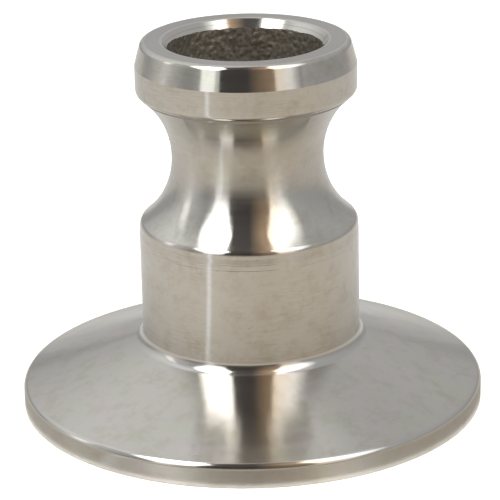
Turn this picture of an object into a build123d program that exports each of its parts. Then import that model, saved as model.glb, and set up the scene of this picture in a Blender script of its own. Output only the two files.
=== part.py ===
from build123d import *
import os
from math import radians, sqrt, tan

os.makedirs("parts", exist_ok=True)

# Pipe adapter, cast in one piece and turned outside. A cam-grooved coupling head stands on a straight
# shank, and the shank stands on a round clamp flange. One flow passage runs through it.
# The origin is the middle of the sealing face under the flange, and +Z runs up the axis to the head.
# Lengths are in millimetres and angles in degrees.

# Clamp flange: a flat face below, a straight rim and a sloping back that the clamp's jaws squeeze
flange_diameter = 50.5
flange_edge = 2.5
flange_slope = 20.0
rim_round = 0.7
rim_break = 0.12

# Gasket groove, a half-round ring in the sealing face, set in from the rim
gasket_groove_inset = 3.45
gasket_groove_radius = 1.4
gasket_lip_break = 0.15

# Coupling head, measured down from its top face, with a tapered lead for the coupler
overall_height = 40.5
head_diameter = 23.68
lead_depth = 2.55
lead_angle = 15.0
lead_round = 0.6

# Cam groove, a ring of round section that the coupler's cams press into
groove_below_top = 12.7
groove_radius = 9.0
groove_throat_diameter = 16.35
groove_corner_round = 0.8

# Shank, left a little over the head's size: the head's finishing cut runs a short way below the groove
shank_allowance = 0.06
head_cut_run = 1.2
foot_round = 1.3

# Flow passage: a chamfered mouth, a straight bore under the head, the narrow neck and a wide outlet
mouth_wall = 2.9
mouth_chamfer = 0.8
mouth_round = 0.4
bore_depth = 5.0
neck_wall = 1.825
neck_length = 4.0
neck_blend = 5.0
outlet_wall = 2.4
outlet_taper = 9.0
outlet_break = 0.3

# Worked-out sizes
flange_r = flange_diameter / 2
gasket_r = flange_r - gasket_groove_inset
head_r = head_diameter / 2
shank_r = head_r + shank_allowance
throat_r = groove_throat_diameter / 2
mouth_r = head_r - mouth_wall
bore_r = mouth_r - mouth_chamfer
neck_r = throat_r - neck_wall
outlet_r = shank_r - outlet_wall
foot_z = flange_edge + (flange_r - shank_r) * tan(radians(flange_slope))
lead_z = overall_height - lead_depth
top_r = head_r - lead_depth * tan(radians(lead_angle))
groove_z = overall_height - groove_below_top
groove_ring_r = throat_r + groove_radius
groove_half = sqrt(groove_radius**2 - (groove_ring_r - head_r) ** 2)
head_cut_z = groove_z - groove_half - head_cut_run
chamfer_z = overall_height - mouth_chamfer
bore_z = overall_height - bore_depth
neck_low_z = groove_z - neck_length / 2
neck_high_z = groove_z + neck_length / 2
outlet_z = neck_low_z - outlet_taper


def half_section(*points):
    """The flat face inside a closed line through (radius, height) points."""
    return make_face(Polyline(*points, close=True))


def corner(section, radius, height):
    """The corner of the section nearest to that radius and height."""
    return min(section.vertices(), key=lambda point: abs(point.X - radius) + abs(point.Y - height))


def rounded(section, *corners):
    """The section with each (radius, height, rounding) corner filleted."""
    for radius, height, rounding in corners:
        section = fillet(corner(section, radius, height), rounding)
    return section


def broken(section, *corners):
    """The section with the sharp edge at each (radius, height, size) corner taken off by a small chamfer."""
    for radius, height, size in corners:
        section = chamfer(corner(section, radius, height), size)
    return section


def blank():
    """The outside before the grooves: flange, shank, and the head with its tapered lead."""
    return half_section(
        (0, 0),
        (flange_r, 0),
        (flange_r, flange_edge),
        (shank_r, foot_z),
        (shank_r, head_cut_z),
        (head_r, head_cut_z),
        (head_r, lead_z),
        (top_r, overall_height),
        (0, overall_height),
    )


def cam_groove():
    """The circle that the round-nosed turning tool follows."""
    return Pos(groove_ring_r, groove_z) * Circle(groove_radius)


def gasket_groove():
    """The circle of the gasket's bead, centred in the plane of the sealing face."""
    return Pos(gasket_r, 0) * Circle(gasket_groove_radius)


def flow_passage():
    """Outlet bore, taper to the neck, neck, taper to the head's bore, and the mouth's chamfer, as one core."""
    core = half_section(
        (0, 0),
        (outlet_r, 0),
        (outlet_r, outlet_z),
        (neck_r, neck_low_z),
        (neck_r, neck_high_z),
        (bore_r, bore_z),
        (bore_r, chamfer_z),
        (mouth_r, overall_height),
        (0, overall_height),
    )
    return rounded(
        core,
        (outlet_r, outlet_z, neck_blend),
        (neck_r, neck_low_z, neck_blend),
        (neck_r, neck_high_z, neck_blend),
        (bore_r, bore_z, neck_blend),
    )


def wall():
    """The whole half section of the metal, with its corners rounded and its sharp edges broken."""
    section = rounded(
        blank() - cam_groove() - gasket_groove() - flow_passage(),
        (flange_r, flange_edge, rim_round),
        (shank_r, foot_z, foot_round),
        (head_r, groove_z - groove_half, groove_corner_round),
        (head_r, groove_z + groove_half, groove_corner_round),
        (top_r, overall_height, lead_round),
        (mouth_r, overall_height, mouth_round),
    )
    return broken(
        section,
        (flange_r, 0, rim_break),
        (outlet_r, 0, outlet_break),
        (gasket_r - gasket_groove_radius, 0, gasket_lip_break),
        (gasket_r + gasket_groove_radius, 0, gasket_lip_break),
    )


adapter_body = revolve(Plane.XZ * wall(), Axis.Z)
export_step(adapter_body, "parts/adapter_body.step")
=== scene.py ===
import bpy
import numpy as np
from mathutils import Matrix


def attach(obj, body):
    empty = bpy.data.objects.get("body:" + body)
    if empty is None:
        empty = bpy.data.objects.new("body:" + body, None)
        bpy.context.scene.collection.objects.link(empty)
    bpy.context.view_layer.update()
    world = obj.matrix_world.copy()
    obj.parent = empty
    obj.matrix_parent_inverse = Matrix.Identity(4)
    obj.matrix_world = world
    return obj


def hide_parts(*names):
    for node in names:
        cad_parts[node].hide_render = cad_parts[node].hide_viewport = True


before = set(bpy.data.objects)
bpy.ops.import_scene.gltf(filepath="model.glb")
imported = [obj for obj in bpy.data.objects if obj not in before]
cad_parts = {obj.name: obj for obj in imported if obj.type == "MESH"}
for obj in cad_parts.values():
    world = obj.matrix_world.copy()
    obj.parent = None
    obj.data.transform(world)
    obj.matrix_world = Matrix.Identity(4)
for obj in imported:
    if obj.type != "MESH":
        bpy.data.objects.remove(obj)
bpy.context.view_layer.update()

# A coupling adapter of stainless steel: flange, shank, cam groove and head turned in one piece, with an
# as-cast passage through it. The metal is one closed surface carried round the upright axis, built in
# millimetres here and written in metres, in the frame of the solid model.
MM = 0.001
TURNS = 448  # divisions round the axis

# Clamp flange and its gasket groove
FLANGE_R, FLANGE_EDGE, FLANGE_SLOPE, RIM_ROUND, RIM_BREAK = 25.25, 2.5, 20.0, 0.7, 0.12
GASKET_R, GASKET_BEAD, GASKET_LIP = 21.8, 1.4, 0.15
# Head with its tapered lead
HEIGHT, HEAD_R, LEAD_DEPTH, LEAD_ANGLE, LEAD_ROUND = 40.5, 11.84, 2.55, 15.0, 0.6
# Cam groove
GROOVE_Z, GROOVE_BEND, THROAT_R, GROOVE_CORNER = 27.8, 9.0, 8.175, 0.8
# Shank
SHANK_R, HEAD_CUT_RUN, FOOT_ROUND = 11.9, 1.2, 1.3
# Passage
MOUTH_R, MOUTH_CHAMFER, MOUTH_ROUND = 8.94, 0.8, 0.4
BORE_R, BORE_Z = 8.14, 35.5
NECK_R, NECK_LOW, NECK_HIGH, NECK_BLEND = 6.35, 25.8, 29.8, 5.0
OUTLET_R, OUTLET_Z, OUTLET_BREAK = 9.5, 16.8, 0.3

# Marks of the lathe: the height over which the head's last cut runs out, two fine lines scored a little
# below it, and a small step halfway down the mouth's chamfer
CUT_FADE = 0.5
SCORE_DEPTH, SCORE_HEIGHT = 0.006, 0.048
HIGH_SCORE_BELOW_CUT, LOW_SCORE_BELOW_CUT = 0.15, 0.75
TOOL_MARK = 0.025

# The cast wall's grid below the mouth, and the width and height of its grains, lumps and waves
CAST_ROWS, CAST_ROW_HEIGHT = 32, 0.11
CAST_GRAINS = ((0.42, 0.017), (0.9, 0.008), (2.4, 0.008))
CAST_FADE_ROWS = 3  # the skin dies away over these rows at the outlet's edge
CAST_SEED = 31
# How the core lay at the mouth: wider, shifted along x and y, and oval. At CORE_DEPTH it lies true again.
CORE_WIDER, CORE_X, CORE_Y, CORE_OVAL, CORE_DEPTH = 0.045, -0.03, -0.08, 0.065, 6.0

STEEL = (0.572, 0.56, 0.535)
BROWN_STAIN = (0.62, 0.55, 0.4)  # what a full stain leaves of the steel's colour
CAST_HOLLOW, CAST_BROWN, CAST_GREY = (0.2, 0.175, 0.145), (0.46, 0.41, 0.345), (0.42, 0.41, 0.365)
CAST_GRIT_DEPTH = 0.035


# The turned profile


def straight(start, end, steps=1):
    """Points evenly spaced on the straight line from start to end. The metal's skin faces the right-hand side
    of the way: for a way (a, b) the facing is (b, -a)."""
    start, end = np.array(start, float), np.array(end, float)
    part = np.linspace(0, 1, steps + 1)[:, None]
    way = (end - start) / np.hypot(*(end - start))
    return start + part * (end - start), np.tile([way[1], -way[0]], (steps + 1, 1))


def bend(centre, radius, first, last, steps):
    """Points centre + radius * (cos a, sin a) as the angle a goes from first to last degrees. A rising angle
    is an outside round and faces away from the centre; a falling angle is a hollow and faces the centre."""
    angle = np.radians(np.linspace(first, last, steps + 1))
    spoke = np.stack([np.cos(angle), np.sin(angle)], 1)
    return np.array(centre) + radius * spoke, spoke * (1 if last > first else -1)


def rounding(before, corner, after, radius, steps):
    """The arc of that radius that touches both straight lines of a corner: it starts and ends
    radius * tan(half the turn) from the corner, and its centre is radius away from both lines."""
    before, corner, after = (np.array(p, float) for p in (before, corner, after))
    way_in = (corner - before) / np.hypot(*(corner - before))
    way_out = (after - corner) / np.hypot(*(after - corner))
    side = np.sign(way_in[0] * way_out[1] - way_in[1] * way_out[0])
    turn = np.arccos(np.clip(way_in @ way_out, -1, 1))
    start = corner - way_in * radius * np.tan(turn / 2)
    centre = start + side * radius * np.array([-way_in[1], way_in[0]])
    first = np.degrees(np.arctan2(*(start - centre)[::-1]))
    return bend(centre, radius, first, first + side * np.degrees(turn), steps)


def scored(z):
    """A fine line round the shank: a nick that goes in by SCORE_DEPTH and out again over SCORE_HEIGHT."""
    heart = (SHANK_R - SCORE_DEPTH, z + SCORE_HEIGHT / 2)
    return [(*straight((SHANK_R, z), heart), "shank"),
            (*straight(heart, (SHANK_R, z + SCORE_HEIGHT)), "shank")]


def profile():
    """The closed half section as runs of (points, facings, finish), anticlockwise from the outlet's edge: along
    the sealing face, up the outside, over the head and down the passage."""
    rise = np.tan(np.radians(FLANGE_SLOPE))
    foot = (SHANK_R, FLANGE_EDGE + (FLANGE_R - SHANK_R) * rise)
    rim = (FLANGE_R, FLANGE_EDGE)
    ring_r = THROAT_R + GROOVE_BEND
    groove_half = np.sqrt(GROOVE_BEND**2 - (ring_r - HEAD_R) ** 2)
    head_cut = GROOVE_Z - groove_half - HEAD_CUT_RUN
    high_score, low_score = head_cut - HIGH_SCORE_BELOW_CUT, head_cut - LOW_SCORE_BELOW_CUT
    lead = (HEAD_R, HEIGHT - LEAD_DEPTH)
    lip = (HEAD_R - LEAD_DEPTH * np.tan(np.radians(LEAD_ANGLE)), HEIGHT)
    # The rounds at the groove's two corners have their centres one round inside the head's line and outside
    # the groove's circle
    reach = GROOVE_BEND + GROOVE_CORNER
    out = ring_r - HEAD_R + GROOVE_CORNER
    drop = np.sqrt(reach**2 - out**2)
    swing = np.degrees(np.arctan2(drop, out))

    rim_arc = rounding((FLANGE_R, 0), rim, foot, RIM_ROUND, 8)
    foot_arc = rounding(rim, foot, (SHANK_R, head_cut), FOOT_ROUND, 9)
    lead_arc = rounding(lead, lip, (0, HEIGHT), LEAD_ROUND, 8)
    chamfer_end = (BORE_R, HEIGHT - MOUTH_CHAMFER)
    mouth_arc = rounding(lip, (MOUTH_R, HEIGHT), chamfer_end, MOUTH_ROUND, 7)
    bore_blend = rounding(chamfer_end, (BORE_R, BORE_Z), (NECK_R, NECK_HIGH), NECK_BLEND, 8)
    mouth_blend = rounding((BORE_R, BORE_Z), (NECK_R, NECK_HIGH), (NECK_R, NECK_LOW), NECK_BLEND, 5)
    neck_blend = rounding((NECK_R, NECK_HIGH), (NECK_R, NECK_LOW), (OUTLET_R, OUTLET_Z), NECK_BLEND, 5)
    outlet_blend = rounding((NECK_R, NECK_LOW), (OUTLET_R, OUTLET_Z), (OUTLET_R, 0), NECK_BLEND, 5)
    mark = (mouth_arc[0][-1] + chamfer_end) / 2
    mark_end = mark + (0, -TOOL_MARK)
    chamfer_foot = (BORE_R, HEIGHT - MOUTH_CHAMFER - TOOL_MARK)
    # The gasket groove with its two broken lips
    lip_r = np.sqrt(GASKET_BEAD**2 - GASKET_LIP**2)
    lip_angle = np.degrees(np.arcsin(GASKET_LIP / GASKET_BEAD))
    inner_lip, outer_lip = GASKET_R - GASKET_BEAD - GASKET_LIP, GASKET_R + GASKET_BEAD + GASKET_LIP
    return [
        (*straight((OUTLET_R + OUTLET_BREAK, 0), (inner_lip, 0), 2), "seal"),
        (*straight((inner_lip, 0), (GASKET_R - lip_r, GASKET_LIP)), "seal"),
        (*bend((GASKET_R, 0), GASKET_BEAD, 180 - lip_angle, lip_angle, 16), "seal"),
        (*straight((GASKET_R + lip_r, GASKET_LIP), (outer_lip, 0)), "seal"),
        (*straight((outer_lip, 0), (FLANGE_R - RIM_BREAK, 0)), "seal"),
        (*straight((FLANGE_R - RIM_BREAK, 0), (FLANGE_R, RIM_BREAK)), "rim"),
        (*straight((FLANGE_R, RIM_BREAK), rim_arc[0][0], 3), "rim"),
        (*rim_arc, "polish"),
        (*straight(rim_arc[0][-1], foot_arc[0][0], 6), "back"),
        (*foot_arc, "polish"),
        (*straight(foot_arc[0][-1], (SHANK_R, low_score), 6), "shank"),
        *scored(low_score),
        (*straight((SHANK_R, low_score + SCORE_HEIGHT), (SHANK_R, high_score)), "shank"),
        *scored(high_score),
        (*straight((SHANK_R, high_score + SCORE_HEIGHT), (SHANK_R, head_cut)), "shank"),
        (*straight((SHANK_R, head_cut), (HEAD_R, head_cut + CUT_FADE)), "shank"),
        (*straight((HEAD_R, head_cut + CUT_FADE), (HEAD_R, GROOVE_Z - drop)), "shank"),
        (*bend((HEAD_R - GROOVE_CORNER, GROOVE_Z - drop), GROOVE_CORNER, 0, 180 - swing, 7), "groove"),
        (*bend((ring_r, GROOVE_Z), GROOVE_BEND, 180 + swing, 180 - swing, 28), "groove"),
        (*bend((HEAD_R - GROOVE_CORNER, GROOVE_Z + drop), GROOVE_CORNER, swing - 180, 0, 7), "shank"),
        (*straight((HEAD_R, GROOVE_Z + drop), lead, 2), "shank"),
        (*straight(lead, lead_arc[0][0], 2), "lead"),
        (*lead_arc, "lead"),
        (*straight(lead_arc[0][-1], mouth_arc[0][0], 2), "top"),
        (*mouth_arc, "ring"),
        (*straight(mouth_arc[0][-1], mark, 2), "ring"),
        (*straight(mark, mark_end), "ring"),
        (*straight(mark_end, chamfer_foot, 2), "ring"),
        (*straight(chamfer_foot, bore_blend[0][0], CAST_ROWS), "cast"),
        (*bore_blend, "cast"),
        (*straight(bore_blend[0][-1], mouth_blend[0][0], 12), "cast"),
        (*mouth_blend, "cast"),
        (*straight(mouth_blend[0][-1], neck_blend[0][0], 2), "cast"),
        (*neck_blend, "cast"),
        (*straight(neck_blend[0][-1], outlet_blend[0][0], 6), "cast"),
        (*outlet_blend, "cast"),
        (*straight(outlet_blend[0][-1], (OUTLET_R, OUTLET_BREAK), 8), "cast"),
        (*straight((OUTLET_R, OUTLET_BREAK), (OUTLET_R + OUTLET_BREAK, 0)), "seal"),
    ]


# The turned piece


def sand_skin(rows, row_step, around_step, rng):
    """Heights of a sand-cast skin on a grid of rows by TURNS: for each size, random heights smoothed by a bell
    curve exp(-2 * (pi * f * w)^2), with f the pattern's waves per millimetre and w a third of the grain's
    width, then scaled to the wanted height. The grid closes round the axis."""
    skin = np.zeros((rows, TURNS))
    f_up = np.fft.fftfreq(2 * rows, row_step)[:, None]
    f_round = np.fft.fftfreq(TURNS, around_step)[None, :]
    for width, height in CAST_GRAINS:
        noise = np.fft.fft2(rng.standard_normal((2 * rows, TURNS)))
        bell = np.exp(-2 * (np.pi * np.hypot(f_up, f_round) * width / 3) ** 2)
        lumps = np.fft.ifft2(noise * bell).real[:rows]
        skin += height * lumps / lumps.std()
    return skin


def turned_piece(name, runs, finishes):
    """Carries the profile round the axis: a point (r, z) of the profile becomes (r cos t, r sin t, z) for the
    angle t of each of TURNS spokes. On the cast wall, r is first moved by the sand skin. Each corner of a face
    gets the facing of its own run, so turned edges stay crisp, and on the cast wall the facing is that of the
    moved skin: the cross product of its slopes round the axis and along the profile."""
    points = np.vstack([p[:-1] for p, facing, finish in runs])
    face_low = np.vstack([facing[:-1] for p, facing, finish in runs])
    face_high = np.vstack([facing[1:] for p, facing, finish in runs])
    kinds = sorted(finishes)
    kind = np.concatenate([np.full(len(p) - 1, kinds.index(finish)) for p, facing, finish in runs])
    rows = len(points)

    turn = np.arange(TURNS) * 2 * np.pi / TURNS
    spoke = np.stack([np.cos(turn), np.sin(turn)], 1)
    r = np.repeat(points[:, :1], TURNS, 1)
    z = np.repeat(points[:, 1:], TURNS, 1)

    # The cast skin moves the wall in and out, and near the mouth the core lay a little off the axis
    cast = np.flatnonzero(kind == kinds.index("cast"))
    first, last = cast[0], cast[-1]
    rng = np.random.default_rng(CAST_SEED)
    skin = sand_skin(last - first + 1, CAST_ROW_HEIGHT, 2 * np.pi * BORE_R / TURNS, rng)
    fade = np.clip((last - np.arange(first, last + 1)) / CAST_FADE_ROWS, 0, 1)[:, None]
    depth = (z[first] - z[first:last + 1]) / CORE_DEPTH
    core = CORE_WIDER + CORE_Y * np.sin(turn) + CORE_OVAL * np.cos(2 * turn) + CORE_X * np.cos(turn)
    r[first:last + 1] += skin * fade + core * np.clip(1 - depth, 0, 1)
    # The chamfer runs on until it leaves the cast wall: deeper where the wall lies further in
    z[first] += r[first] - BORE_R

    x, y = r * spoke[:, 0], r * spoke[:, 1]
    grid = np.stack([x, y, z], 2)
    around = np.roll(grid, -1, 1) - np.roll(grid, 1, 1)
    along = np.roll(grid, -1, 0) - np.roll(grid, 1, 0)
    along[first] = grid[first + 1] - grid[first]
    moved = np.cross(around, along)
    moved /= np.linalg.norm(moved, axis=2, keepdims=True)

    def swept(facing):
        """The profile's facings carried round the axis."""
        out = facing[:, None, :1] * spoke[None]
        return np.concatenate([out, np.repeat(facing[:, None, 1:], TURNS, 1)], 2)

    low, high = swept(face_low), swept(face_high)
    low[first:last + 1] = moved[first:last + 1]
    high[first:last] = moved[first + 1:last + 1]

    here, across = np.arange(TURNS), (np.arange(TURNS) + 1) % TURNS
    row, above = np.arange(rows)[:, None], ((np.arange(rows) + 1) % rows)[:, None]
    corners = [row * TURNS + here, row * TURNS + across, above * TURNS + across, above * TURNS + here]
    corners = np.stack(corners, 2)
    normals = np.stack([low[:, here], low[:, across], high[:, across], high[:, here]], 2)

    mesh = bpy.data.meshes.new(name)
    mesh.vertices.add(rows * TURNS)
    mesh.vertices.foreach_set("co", (grid * MM).ravel())
    mesh.loops.add(corners.size)
    mesh.loops.foreach_set("vertex_index", corners.ravel())
    mesh.polygons.add(rows * TURNS)
    mesh.polygons.foreach_set("loop_start", np.arange(rows * TURNS) * 4)
    for finish in kinds:
        mesh.materials.append(finishes[finish])
    mesh.polygons.foreach_set("material_index", np.repeat(kind, TURNS))

    # The lathe map: turns round the axis, and the way along the profile from the outlet's edge, both from 0
    # to 1
    steps = np.hypot(*(np.roll(points, -1, 0) - points).T)
    way = np.concatenate([[0], np.cumsum(steps)])
    way /= way[-1]
    map_u = np.stack([here, here + 1, here + 1, here], 1) / TURNS
    map_v = np.stack([way[:-1], way[:-1], way[1:], way[1:]], 1)
    lathe = np.stack(np.broadcast_arrays(map_u[None], map_v[:, None]), 3)
    mesh.uv_layers.new(name="lathe").data.foreach_set("uv", lathe.astype(np.float32).ravel())
    mesh.update(calc_edges=True)
    mesh.validate()
    mesh.normals_split_custom_set(normals.reshape(-1, 3))
    piece = bpy.data.objects.new(name, mesh)
    bpy.context.scene.collection.objects.link(piece)
    return piece


# Finishes


def shade(colour, factor):
    """The colour, darker or lighter by that factor."""
    return tuple(c * factor for c in colour)


class Finish:
    """A metal finish under way: its material, and short ways to add and join its nodes."""

    def __init__(self, name):
        self.material = bpy.data.materials.new(name)
        self.material.use_nodes = True
        self.tree = self.material.node_tree
        self.skin = self.tree.nodes["Principled BSDF"]

    def join(self, value, socket):
        """Joins another node's socket to this one, or gives it a plain value."""
        if isinstance(value, bpy.types.NodeSocket):
            self.tree.links.new(value, socket)
        else:
            socket.default_value = value

    def add(self, kind, sockets=(), **settings):
        """A node of that kind with its settings, whose sockets get a value or a join. Gives its first output."""
        node = self.tree.nodes.new("ShaderNode" + kind)
        for key, value in settings.items():
            setattr(node, key, value)
        for key, value in dict(sockets).items():
            self.join(value, node.inputs[key])
        return node.outputs[0]

    def set(self, **sockets):
        """Sets or joins sockets of the skin, named with _ for a space."""
        for key, value in sockets.items():
            self.join(value, self.skin.inputs[key.replace("_", " ")])

    def sums(self, operation, a, b, clamp=False):
        """Two values put together by that operation."""
        return self.add("Math", {0: a, 1: b}, operation=operation, use_clamp=clamp)

    def tinted(self, first, second):
        """Two colours multiplied."""
        return self.add("VectorMath", {0: first, 1: second}, operation="MULTIPLY")

    def place(self):
        """The place on the piece, in metres."""
        return self.add("TexCoord").node.outputs["Object"]

    def lathe_place(self, round_scale, along_scale):
        """A pattern place for marks that run round the axis: the place across the axis, times round_scale, and
        the way along the profile in metres, times along_scale."""
        across = self.add("SeparateXYZ", {0: self.place()}).node
        way = self.add("SeparateXYZ", {0: self.add("UVMap", uv_map="lathe")}).node
        x = self.sums("MULTIPLY", across.outputs[0], round_scale)
        y = self.sums("MULTIPLY", across.outputs[1], round_scale)
        v = self.sums("MULTIPLY", way.outputs[1], along_scale * PROFILE_LENGTH * MM)
        return self.add("CombineXYZ", {0: x, 1: y, 2: v})

    def noise(self, place, scale, detail, rough):
        """A cloudy pattern of values round a half."""
        return self.add("TexNoise", {"Vector": place, "Scale": scale, "Detail": detail, "Roughness": rough})

    def spread(self, value, low, high, to_low=0.0, to_high=1.0, smooth=False):
        """Maps low..high to to_low..to_high and holds it there."""
        return self.add("MapRange", {0: value, 1: low, 2: high, 3: to_low, 4: to_high},
                        interpolation_type="SMOOTHSTEP" if smooth else "LINEAR")

    def blend(self, amount, first, second):
        """A colour between two, by an amount."""
        mix = self.add("Mix", data_type="RGBA").node
        self.join(amount, mix.inputs[0])
        for socket, colour in ((mix.inputs[6], first), (mix.inputs[7], second)):
            self.join((*colour, 1) if isinstance(colour, tuple) else colour, socket)
        return mix.outputs[2]


def turned_finish(name, rough, spin, ring_depth, ring_pitch, film, mottle, cloud, tint=STEEL,
                  rough_by_height=()):
    """Turned steel. A fine and a coarse ring pattern run round the axis: they lift the skin by ring_depth
    millimetres and vary the roughness. Three patterns vary the colour: film, a wide soft stain from olive to
    pink; mottle, small dashes along the turning; cloud, an irregular brown stain with a few specks. The three
    numbers say how much. rough_by_height gives (height, roughness) pairs instead of one roughness."""
    f = Finish(name)
    # The patterns, by their scale: waves to the metre round the axis and along the profile
    fine = f.noise(f.lathe_place(70, 1 / (ring_pitch * MM)), 1.0, 3.0, 0.65)
    coarse = f.noise(f.lathe_place(40, 0.24 / (ring_pitch * MM)), 1.0, 2.0, 0.5)
    wide = f.noise(f.lathe_place(170, 300), 1.0, 3.0, 0.55)
    dashes = f.noise(f.lathe_place(550, 5200), 1.0, 2.0, 0.6)
    patch = f.noise(f.lathe_place(160, 200), 1.0, 3.0, 0.6)
    stain = f.noise(f.place(), 420, 5.0, 0.72)
    dark = f.noise(f.place(), 1900, 1.0, 0.5)

    olive = (1 - film * 0.08, 1, 1 - film * 0.25)
    pink = (1 + film * 0.06, 1 - film * 0.06, 1)
    clouded = f.sums("MULTIPLY", f.spread(stain, 0.48, 0.72), cloud)
    dashed = f.sums("MULTIPLY", f.spread(dashes, 0.42, 0.7), f.spread(patch, 0.42, 0.62))
    marks = f.sums("ADD", f.sums("MULTIPLY", dashed, mottle), clouded, clamp=True)
    specks = f.spread(dark, 0.78, 0.82, 1.0, 1 - 0.4 * cloud)
    colour = f.tinted(f.blend(f.spread(wide, 0.3, 0.7), olive, pink), tint)
    colour = f.tinted(colour, f.blend(marks, (1, 1, 1), BROWN_STAIN))
    colour = f.add("VectorMath", {0: colour, "Scale": specks}, operation="SCALE")

    worn = f.spread(coarse, 0.3, 0.7, -0.12 * rough, 0.12 * rough)
    base = rough
    if rough_by_height:
        height = f.add("SeparateXYZ", {0: f.place()}).node.outputs[2]
        base = rough_by_height[0][1]
        for (z0, rough0), (z1, rough1) in zip(rough_by_height, rough_by_height[1:]):
            step = f.spread(height, z0 * MM, z1 * MM, 0.0, rough1 - rough0, smooth=True)
            base = f.sums("ADD", step, base)
    lift = f.sums("ADD", f.sums("MULTIPLY", fine, 0.5), f.sums("MULTIPLY", coarse, 0.5))
    f.set(Metallic=1.0, Base_Color=colour, Roughness=f.sums("ADD", base, worn),
          Anisotropic=spin, Anisotropic_Rotation=0.25,
          Normal=f.add("Bump", {"Height": lift, "Distance": ring_depth * MM, "Strength": 1.0}),
          Tangent=f.add("Tangent", direction_type="RADIAL", axis="Z"))
    return f.material


def cast_finish(name):
    """As-cast steel: duller in the hollows, brownish and greyer by turns, with fine grit and small bright
    crests."""
    f = Finish(name)
    place = f.place()
    grit = f.noise(place, 5200, 3.0, 0.6)
    pits = f.noise(place, 2200, 3.0, 0.6)
    wide = f.noise(place, 160, 2.0, 0.5)
    light = f.blend(f.spread(wide, 0.35, 0.65), CAST_BROWN, CAST_GREY)
    colour = f.blend(f.spread(pits, 0.3, 0.7), CAST_HOLLOW, light)
    lift = f.sums("ADD", f.sums("MULTIPLY", grit, 0.35), f.sums("MULTIPLY", pits, 0.65))
    f.set(Metallic=0.85, Base_Color=colour, Roughness=f.spread(grit, 0.35, 0.7, 0.28, 0.46),
          Normal=f.add("Bump", {"Height": lift, "Distance": CAST_GRIT_DEPTH * MM, "Strength": 1.0}))
    return f.material


# The adapter

RUNS = profile()
PROFILE_LENGTH = sum(np.hypot(*np.diff(p, axis=0).T).sum() for p, facing, finish in RUNS)
# In each row: roughness, spin of the shine round the axis, ring depth and pitch, film, mottle and cloud
FINISHES = {
    "seal": turned_finish("faced_seal", 0.3, 0.9, 0.0008, 0.16, 0.2, 0.3, 0.2),
    "rim": turned_finish("rim_band", 0.36, 0.95, 0.0008, 0.2, 0.3, 0.15, 0.25),
    "polish": turned_finish("bright_round", 0.14, 0.8, 0.0003, 0.12, 0.1, 0.1, 0.1),
    "back": turned_finish("brushed_back", 0.15, 0.9, 0.0002, 0.25, 0.3, 0.06, 0.3),
    "shank": turned_finish("satin_shank", 0.14, 0.85, 0.0003, 0.18, 0.0, 0.22, 0.38),
    "groove": turned_finish("groove_cut", 0.2, 1.0, 0.0006, 0.14, 0.2, 0.1, 0.3,
                            rough_by_height=((24.6, 0.15), (27.5, 0.25), (29.0, 0.25), (32.0, 0.17))),
    "lead": turned_finish("bright_lead", 0.12, 0.8, 0.0003, 0.12, 0.3, 0.15, 0.3),
    # The top face's steel is darkened to 0.77: painted shade, in place of dimmer light on the top face
    "top": turned_finish("faced_top", 0.24, 0.8, 0.0005, 0.14, 0.15, 0.05, 0.1, shade(STEEL, 0.77)),
    "ring": turned_finish("mouth_chamfer", 0.15, 0.85, 0.0003, 0.12, 0.15, 0.1, 0.15),
    "cast": cast_finish("cast_wall"),
}
body = turned_piece("turned_adapter", RUNS, FINISHES)
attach(body, "root")
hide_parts("adapter_body")


# The studio. Lengths in it are in metres.

WHITE, WARM = (1, 1, 1), (1, 0.87, 0.74)
DARK_SIDE, ORANGE_GLOW = (0.11, 0.1, 0.1), (0.62, 0.44, 0.3)
WALL, PALE_STRIP, DARK_GAP, LAMP_END = 0.4, 0.8, 0.25, 0.9
TABLE_LEFT, TABLE_FRONT, TABLE_BACK, TABLE_LINE = (0.53, 0.49, 0.43), (0.47, 0.42, 0.35), 0.47, 0.8
SHEET_STEPS = 32  # divisions of a glowing sheet each way
LAMP_REACH, LAMP_SIZE, LAMP_POWER = 0.62, 0.4, 2.2
LAMP_BEARING, LAMP_HEIGHT = 52, 52
ROOM_GLOW, FLOOR_GLOW = 0.55, 0.3
FLOOR_HALF = 2.5
TABLE_NEAR, TABLE_FAR, TABLE_LIFT = 0.0256, 0.6, 0.0003
TABLE_TURNS, TABLE_RINGS = 64, 16


def ramp(tree, value, stops):
    """A colour ramp over value with the given (place, colour) stops."""
    node = tree.nodes.new("ShaderNodeValToRGB")
    bar = node.color_ramp.elements
    while len(bar) < len(stops):
        bar.new(0.5)
    for element, (place, colour) in zip(bar, stops):
        element.position = place
        element.color = (*colour, 1)
    tree.links.new(value, node.inputs[0])
    return node.outputs[0]


def greys(*stops):
    """Ramp stops of plain greys: (place, grey) each."""
    return [(place, shade(WHITE, grey)) for place, grey in stops]


def bearings(reach, *stops):
    """Ramp stops for a sheet that spans the bearings from -reach to reach: (bearing, grey or colour) each."""
    return [((bearing + reach) / (2 * reach), shade(WHITE, glow) if np.isscalar(glow) else glow)
            for bearing, glow in stops]


EVEN = greys((0, 1), (1, 1))


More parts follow.
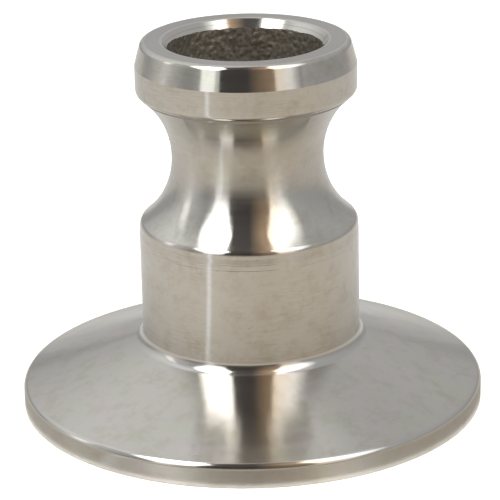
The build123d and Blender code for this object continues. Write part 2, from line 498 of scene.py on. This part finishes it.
def glowing_sheet(name, place, u, v, strength, across, upwards):
    """A sheet through a grid of places that glows by one ramp over u times another over v, seen by metal
    alone."""
    rows, columns = place.shape[:2]
    i = np.arange(rows * columns).reshape(rows, columns)
    quads = np.stack([i[:-1, :-1], i[1:, :-1], i[1:, 1:], i[:-1, 1:]], 2).reshape(-1, 4)
    mesh = bpy.data.meshes.new(name)
    mesh.from_pydata(place.reshape(-1, 3).tolist(), [], quads.tolist())
    span = np.stack(np.broadcast_arrays(u, v), 2).reshape(-1, 2)
    mesh.uv_layers.new(name="sheet").data.foreach_set("uv", span[quads.ravel()].astype(np.float32).ravel())
    material = bpy.data.materials.new(name)
    material.use_nodes = True
    tree = material.node_tree
    tree.nodes.clear()
    uv = tree.nodes.new("ShaderNodeUVMap")
    uv.uv_map = "sheet"
    split = tree.nodes.new("ShaderNodeSeparateXYZ")
    tree.links.new(uv.outputs[0], split.inputs[0])
    product = tree.nodes.new("ShaderNodeVectorMath")
    product.operation = "MULTIPLY"
    tree.links.new(ramp(tree, split.outputs[0], across), product.inputs[0])
    tree.links.new(ramp(tree, split.outputs[1], upwards), product.inputs[1])
    glow = tree.nodes.new("ShaderNodeEmission")
    glow.inputs["Strength"].default_value = strength
    tree.links.new(product.outputs[0], glow.inputs["Color"])
    output = tree.nodes.new("ShaderNodeOutputMaterial")
    tree.links.new(glow.outputs[0], output.inputs[0])
    mesh.materials.append(material)
    sheet = bpy.data.objects.new(name, mesh)
    bpy.context.scene.collection.objects.link(sheet)
    sheet.visible_camera = False
    sheet.visible_shadow = False
    sheet.visible_diffuse = False


def studio_sheet(name, reach, rows, strength, across, upwards):
    """A sheet on a ball of radius reach round the object. Its rows say (elevation, left bearing, right bearing),
    in degrees, with bearings clockwise from the camera's side, and lie evenly over the sheet. The point at
    bearing a and elevation e is reach * (sin a cos e, -cos a cos e, sin e)."""
    height, left, right = np.array(rows, float).T
    u, v = np.linspace(0, 1, SHEET_STEPS + 1)[None], np.linspace(0, 1, SHEET_STEPS + 1)
    part = np.linspace(0, 1, len(rows))
    bearing = np.interp(v, part, left)[:, None] * (1 - u) + np.interp(v, part, right)[:, None] * u
    a, e = np.radians(bearing), np.radians(np.interp(v, part, height)[:, None] + 0 * u)
    place = reach * np.stack([np.sin(a) * np.cos(e), -np.cos(a) * np.cos(e), np.sin(e)], 2)
    glowing_sheet(name, place, u, v[:, None], strength, across, upwards)


def table_glow(name, strength, across, outwards):
    """The table round the object as mirroring metal sees it, a flat ring just above the floor from TABLE_NEAR
    to TABLE_FAR: the point at bearing a and radius r is (r sin a, -r cos a). Its glow is painted light in place
    of
    the lit table: a ramp round it times one outwards."""
    u, v = np.meshgrid(np.linspace(0, 1, TABLE_TURNS + 1), np.linspace(0, 1, TABLE_RINGS + 1))
    a, r = np.radians(360 * u - 180), TABLE_NEAR * (TABLE_FAR / TABLE_NEAR) ** v
    place = np.stack([r * np.sin(a), -r * np.cos(a), np.full(r.shape, TABLE_LIFT)], 2)
    glowing_sheet(name, place, u, v, strength, across, outwards)


def seen_directly(tree, hidden, seen):
    """A value that is seen for rays from the camera, from mirroring metal or through glass, and hidden for
    others."""
    path = tree.nodes.new("ShaderNodeLightPath")
    total = path.outputs["Is Camera Ray"]
    for ray in ("Is Glossy Ray", "Is Transmission Ray"):
        add = tree.nodes.new("ShaderNodeMath")
        add.operation = "ADD"
        add.use_clamp = True
        tree.links.new(total, add.inputs[0])
        tree.links.new(path.outputs[ray], add.inputs[1])
        total = add.outputs[0]
    choice = tree.nodes.new("ShaderNodeMapRange")
    tree.links.new(total, choice.inputs[0])
    choice.inputs["To Min"].default_value = hidden
    choice.inputs["To Max"].default_value = seen
    return choice.outputs[0]


def soft_lamp(name, bearing):
    """A square soft lamp that lights the room from that bearing, LAMP_REACH from the object."""
    a, e = np.radians(bearing), np.radians(LAMP_HEIGHT)
    place = LAMP_REACH * np.array([np.sin(a) * np.cos(e), -np.cos(a) * np.cos(e), np.sin(e)])
    light = bpy.data.lights.new(name, "AREA")
    light.shape = "SQUARE"
    light.size = LAMP_SIZE
    light.energy = LAMP_POWER
    lamp = bpy.data.objects.new(name, light)
    back = place / np.linalg.norm(place)
    side = np.cross([0, 0, 1], back)
    side /= np.linalg.norm(side)
    turn = np.eye(4)
    turn[:3, 0], turn[:3, 1], turn[:3, 2], turn[:3, 3] = side, np.cross(back, side), back, place
    lamp.matrix_world = Matrix(turn.tolist())
    lamp.visible_glossy = False
    bpy.context.scene.collection.objects.link(lamp)


def room_light():
    """The room: white to the camera and to mirroring metal, and a plain soft light on everything else."""
    world = bpy.data.worlds.new("room")
    bpy.context.scene.world = world
    world.use_nodes = True
    background = world.node_tree.nodes["Background"]
    background.inputs["Color"].default_value = (1, 1, 1, 1)
    strength = seen_directly(world.node_tree, ROOM_GLOW, 1.0)
    world.node_tree.links.new(strength, background.inputs["Strength"])
    soft_lamp("left_lamp", -LAMP_BEARING)
    soft_lamp("right_lamp", LAMP_BEARING)


def studio_floor():
    """A flat square that the adapter stands on."""
    mesh = bpy.data.meshes.new("floor")
    corners = [(x * FLOOR_HALF, y * FLOOR_HALF, 0) for x, y in ((-1, -1), (1, -1), (1, 1), (-1, 1))]
    mesh.from_pydata(corners, [], [(0, 1, 2, 3)])
    material = bpy.data.materials.new("pale_floor")
    material.use_nodes = True
    tree = material.node_tree
    skin = tree.nodes["Principled BSDF"]
    skin.inputs["Base Color"].default_value = (0.9, 0.88, 0.85, 1)
    skin.inputs["Roughness"].default_value = 0.9
    skin.inputs["Specular IOR Level"].default_value = 0.1
    skin.inputs["Emission Color"].default_value = (1, 0.97, 0.9, 1)
    tree.links.new(seen_directly(tree, 0.0, FLOOR_GLOW), skin.inputs["Emission Strength"])
    mesh.materials.append(material)
    floor = bpy.data.objects.new("floor", mesh)
    bpy.context.scene.collection.objects.link(floor)


# What the metal mirrors: two softboxes with the dark camera side between them, and paler walls beside and
# behind. Each sheet's ramps go from its left edge to its right, and from its lowest row to its highest.
studio_sheet("left_softbox", 0.62,
             [(5, -44, -34), (30, -57, -28), (57, -90, -28), (63, -99, -30), (79, -130, -20)],
             6.5, greys((0, 0.12), (0.2, 1), (0.9, 1), (1, 0.5)),
             greys((0, 0.14), (0.25, 0.4), (0.6, 0.78), (0.85, 0.75), (1, 0.5)))
studio_sheet("right_softbox", 0.62,
             [(2, 29, 50), (30, 28, 72), (57, 25, 92), (63, 27, 97), (72, 45, 108), (79, 80, 130)],
             3.0, [(0, shade(WARM, 0.5)), (0.12, WARM), (0.6, WHITE), (1, shade(WHITE, 0.2))],
             greys((0, 0.3), (0.1, 0.37), (0.2, 0.78), (0.35, 0.87), (1, 0.87)))
studio_sheet("camera_side", 0.6, [(-8, -27, 30), (60, -28, 29), (70, -44, 44), (80, -90, 90), (100, -90, 90)],
             1.14, [(0, DARK_SIDE), (0.5, DARK_SIDE), (0.85, ORANGE_GLOW), (1, ORANGE_GLOW)],
             greys((0, 0.55), (0.14, 0.52), (0.24, 0.87), (1, 0.95)))
studio_sheet("left_wall", 0.7, [(-10, -180, -100), (10, -180, -100), (30, -180, -104), (60, -180, -104)],
             1.1, greys((0, 0.75), (0.3, 0.75), (1, 1)), greys((0, 0.68), (0.4, 0.68), (0.8, 1)))
studio_sheet("left_strip", 0.6, [(-10, -98, -80), (0, -98, -81), (20, -103, -85), (44, -110, -91)],
             1.5, greys((0, 0.45), (0.35, 1), (0.65, 1), (1, 0.4)), greys((0, 1), (0.8, 1), (1, 0.6)))
studio_sheet("left_corner", 0.7, [(-10, -84, -40), (10, -84, -40), (30, -88, -45), (48, -93, -50)],
             0.72, greys((0, 1), (0.6, 0.6), (1, 0.8)), EVEN)
studio_sheet("right_wall", 0.7, [(-10, 45, 180), (60, 45, 180)],
             0.8, greys((0, 0.95), (0.3, 0.8), (0.7, 0.8), (1, 1)), greys((0, 0.78), (0.3, 0.72), (0.6, 0.87)))
# The far edge of the table and the pale wall behind it, low at the back
studio_sheet("back_glow", 0.66, [(-12, -193, -167), (-7, -193, -167), (0, -192, -168), (6, -190, -170)],
             1.05, greys((0, 0.75), (0.3, 1), (0.7, 1), (1, 0.75)), greys((0, 1), (0.3, 1), (0.7, 0.6)))
# Near the horizon: the walls, a pale strip and a dark gap on the left, and the softboxes' lower ends with the
# dark camera side between them
studio_sheet("horizon", 0.57, [(-12, -163, 163), (13, -163, 163)],
             1.1, bearings(163, (-163, WALL), (-120, WALL), (-92, PALE_STRIP), (-64, DARK_GAP), (-50, DARK_GAP),
                           (-45, LAMP_END), (-40, LAMP_END), (-35, DARK_GAP), (-20, DARK_SIDE), (23, DARK_SIDE),
                           (31, shade(WARM, LAMP_END)), (43, LAMP_END), (52, WALL), (163, WALL)),
             EVEN)
studio_sheet("tent", 0.8, [(-10, -180, 180), (89.9, -180, 180)], 0.8, EVEN, EVEN)
# The table, warmer in front, with the thin bright line that the shank and the band mirror. Its glow is painted
# light, lighter on the left, and dimmer close to the adapter: a painted shadow of it.
table_glow("table",
           1.65, bearings(180, (-180, TABLE_BACK), (-70, TABLE_LEFT), (-42, TABLE_LEFT), (-40, TABLE_LINE),
                          (-38.5, TABLE_LINE), (-36.5, TABLE_LEFT), (10, TABLE_FRONT), (60, TABLE_FRONT),
                          (180, TABLE_BACK)),
           # Dimmer close to the adapter: a painted shadow of it on the table
           greys((0, 0.64), (0.22, 0.97), (1, 0.82)))
studio_floor()
room_light()


# The photograph's camera, solved from the outline: angles in radians, its place in metres, and the lens and
# its sensor in millimetres
PITCH, YAW, ROLL = 0.345212, 0.000129, 0.021612
CAMERA_PLACE = (0, -0.25188, 0.10731)
LENS, SENSOR = 176.77, 36


def set_camera():
    """The photograph's camera: looking down by PITCH from in front, with its small turn and tilt."""
    forward = np.array([np.sin(YAW) * np.cos(PITCH), np.cos(YAW) * np.cos(PITCH), -np.sin(PITCH)])
    level = np.array([np.cos(YAW), -np.sin(YAW), 0])
    down = np.cross(forward, level)
    right = np.cos(ROLL) * level + np.sin(ROLL) * down
    up = np.sin(ROLL) * level - np.cos(ROLL) * down
    lens = bpy.data.cameras.new("camera")
    lens.lens = LENS
    lens.sensor_width = SENSOR
    lens.clip_start = 0.01
    camera = bpy.data.objects.new("camera", lens)
    turn = np.eye(4)
    turn[:3, 0], turn[:3, 1], turn[:3, 2], turn[:3, 3] = right, up, -forward, CAMERA_PLACE
    camera.matrix_world = Matrix(turn.tolist())
    bpy.context.scene.collection.objects.link(camera)
    bpy.context.scene.camera = camera


set_camera()
bpy.context.scene.view_settings.view_transform = "Standard"
